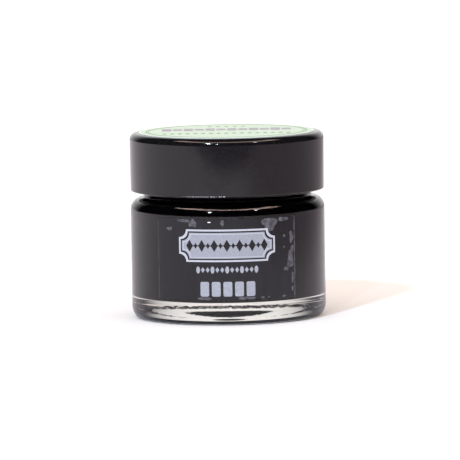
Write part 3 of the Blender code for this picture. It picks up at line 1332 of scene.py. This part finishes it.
def add_world():
    world = bpy.data.worlds.new("Studio")
    bpy.context.scene.world = world
    world.use_nodes = True
    world.node_tree.nodes.clear()
    direction = add_node(world, "ShaderNodeTexCoord").outputs["Generated"]
    split = add_node(world, "ShaderNodeSeparateXYZ", inputs={"Vector": direction})
    path = add_node(world, "ShaderNodeLightPath")
    # Each rises smoothly from 0 to 1 as one axis goes from its first value to its second.
    edges = (("Y", 0.6, 1.0), ("Z", 0.85, 0.6), ("Z", 0.77, 0.82), ("Z", 0.92, 0.87))
    behind, low, cornice_foot, cornice_top = [
        add_node(
            world,
            "ShaderNodeMapRange",
            {"interpolation_type": "SMOOTHSTEP"},
            {"Value": split.outputs[axis], "From Min": start, "From Max": end},
        ).outputs[0]
        for axis, start, end in edges
    ]
    # The sweep rises behind the jar: bright from the horizon up to about 45 degrees.
    sweep = add_node(world, "ShaderNodeMath", {"operation": "MULTIPLY"}, {0: behind, 1: low})
    walls = add_node(
        world,
        "ShaderNodeMix",
        {"data_type": "RGBA"},
        {"Factor": sweep.outputs[0], "A": linear("#0C0A09"), "B": linear("#FFFFFF")},
    )
    # Past the front of the table the floor of the room is a dim mauve, lighter to the right.
    below = add_node(
        world, "ShaderNodeMath", {"operation": "LESS_THAN"}, {0: split.outputs["Z"], 1: 0.0}
    )
    right = add_node(
        world,
        "ShaderNodeMapRange",
        inputs={"Value": split.outputs["X"], "From Min": 0.4, "From Max": 0.95},
    )
    room_floor = add_node(
        world,
        "ShaderNodeMix",
        {"data_type": "RGBA"},
        {"Factor": right.outputs[0], "A": (0.2, 0.17, 0.23, 1.0), "B": (0.66, 0.55, 0.56, 1.0)},
    )
    bare_room = add_node(
        world,
        "ShaderNodeMix",
        {"data_type": "RGBA"},
        {"Factor": below.outputs[0], "A": walls.outputs["Result"], "B": room_floor.outputs["Result"]},
    )
    # A warm cornice high in front draws a thin line along each rounded edge.
    ring = add_node(
        world, "ShaderNodeMath", {"operation": "MULTIPLY"}, {0: cornice_foot, 1: cornice_top}
    )
    front = add_node(
        world, "ShaderNodeMath", {"operation": "LESS_THAN"}, {0: split.outputs["Y"], 1: 0.1}
    )
    cornice = add_node(
        world, "ShaderNodeMath", {"operation": "MULTIPLY"}, {0: ring.outputs[0], 1: front.outputs[0]}
    )
    room = add_node(
        world,
        "ShaderNodeMix",
        {"data_type": "RGBA"},
        {"Factor": cornice.outputs[0], "A": bare_room.outputs["Result"], "B": (5.6, 4.1, 3.6, 1.0)},
    )
    # The camera, the matt surfaces and the glossy surfaces each have their own surroundings.
    seen, fill, mirrored = [
        add_node(world, "ShaderNodeBackground", inputs={"Color": colour, "Strength": 1.0}).outputs[0]
        for colour in ((1.1, 1.1, 1.1, 1.0), (1.28, 1.11, 1.01, 1.0), room.outputs["Result"])
    ]
    shown = add_node(
        world, "ShaderNodeMixShader", inputs={0: path.outputs["Is Diffuse Ray"], 1: seen, 2: fill}
    )
    both = add_node(
        world,
        "ShaderNodeMixShader",
        inputs={0: path.outputs["Is Glossy Ray"], 1: shown.outputs[0], 2: mirrored},
    )
    add_node(world, "ShaderNodeOutputWorld", inputs={"Surface": both.outputs[0]})


# Name, azimuth, elevation and width in degrees, strength and colour of each lamp.
LAMPS = (
    ("key_light", -24.0, 36.0, 4.6, 2.0, (0.62, 0.8, 1.0)),
    ("second_light", -12.0, 33.0, 1.4, 0.3, (0.75, 0.85, 1.0)),
    ("third_light", 41.0, 44.0, 3.6, 0.16, (0.8, 0.85, 1.0)),
)

# The camera stands in front of the jar and looks down a little, with a slight roll, in degrees.
CAMERA_TARGET = (0.55 * MM, 0.0, 22.92 * MM)
CAMERA_ELEVATION = 5.59
CAMERA_DISTANCE = 1.5
CAMERA_ROLL = -0.89
CAMERA_LENS = 438.0


class JAR_OT_stage(bpy.types.Operator):
    """Set up the paper sweep, the lights and the camera"""

    bl_idname = "jar.stage"
    bl_label = "Stage"

    def execute(self, context):
        start_clean()
        bpy.ops.mesh.primitive_plane_add(size=1.0, location=(0.0, 0.0, 0.0))
        floor = new_piece("sweep_floor")
        bpy.ops.object.mode_set(mode="EDIT")
        bpy.ops.mesh.select_all(action="SELECT")
        bpy.ops.transform.resize(value=(4.0, 3.0, 1.0))
        bpy.ops.transform.translate(value=(0.0, 1.05, 0.0))
        bpy.ops.object.mode_set(mode="OBJECT")
        floor.data.materials.append(sweep_paper())
        add_world()
        for name, azimuth, elevation, width, energy, colour in LAMPS:
            bpy.ops.object.light_add(type="SUN")
            lamp = context.object
            lamp.name = name
            lamp.data.energy = energy
            lamp.data.color = colour
            lamp.data.angle = math.radians(width)
            aim(lamp, from_angles(azimuth, elevation, 1.0), (0.0, 0.0, 0.0))
        bpy.ops.object.camera_add()
        camera = context.object
        camera.name = "camera"
        place = from_angles(0, CAMERA_ELEVATION, CAMERA_DISTANCE, CAMERA_TARGET)
        aim(camera, place, CAMERA_TARGET, math.radians(CAMERA_ROLL))
        camera.data.lens = CAMERA_LENS
        camera.data.clip_start = 0.01
        camera.data.clip_end = 50.0
        context.scene.camera = camera
        context.scene.view_settings.view_transform = "Standard"
        return {"FINISHED"}


class JAR_PT_panel(bpy.types.Panel):
    """Lists the jar's pieces in the sidebar"""

    bl_label = "Cream Jar"
    bl_space_type = "VIEW_3D"
    bl_region_type = "UI"
    bl_category = "Cream Jar"

    def draw(self, context):
        layout = self.layout
        for settings in (context.scene.jar_sizes, context.scene.jar_colours):
            for name in settings.__annotations__:
                layout.prop(settings, name)
        for step in STEPS:
            layout.operator(step.bl_idname)


STEPS = (
    JAR_OT_stage,
    JAR_OT_glass,
    JAR_OT_cream,
    JAR_OT_cap,
    JAR_OT_liner,
    JAR_OT_film,
    JAR_OT_air,
    JAR_OT_plate,
    JAR_OT_lines,
    JAR_OT_lid_label,
)
CLASSES = (JarSizes, JarColours, *STEPS, JAR_PT_panel)


def register():
    for cls in CLASSES:
        bpy.utils.register_class(cls)
    bpy.types.Scene.jar_sizes = PointerProperty(type=JarSizes)
    bpy.types.Scene.jar_colours = PointerProperty(type=JarColours)


def unregister():
    del bpy.types.Scene.jar_colours
    del bpy.types.Scene.jar_sizes
    for cls in reversed(CLASSES):
        bpy.utils.unregister_class(cls)


def main():
    register()
    for step in STEPS:
        group, name = step.bl_idname.split(".")
        getattr(getattr(bpy.ops, group), name)()


if __name__ == "__main__":
    main()
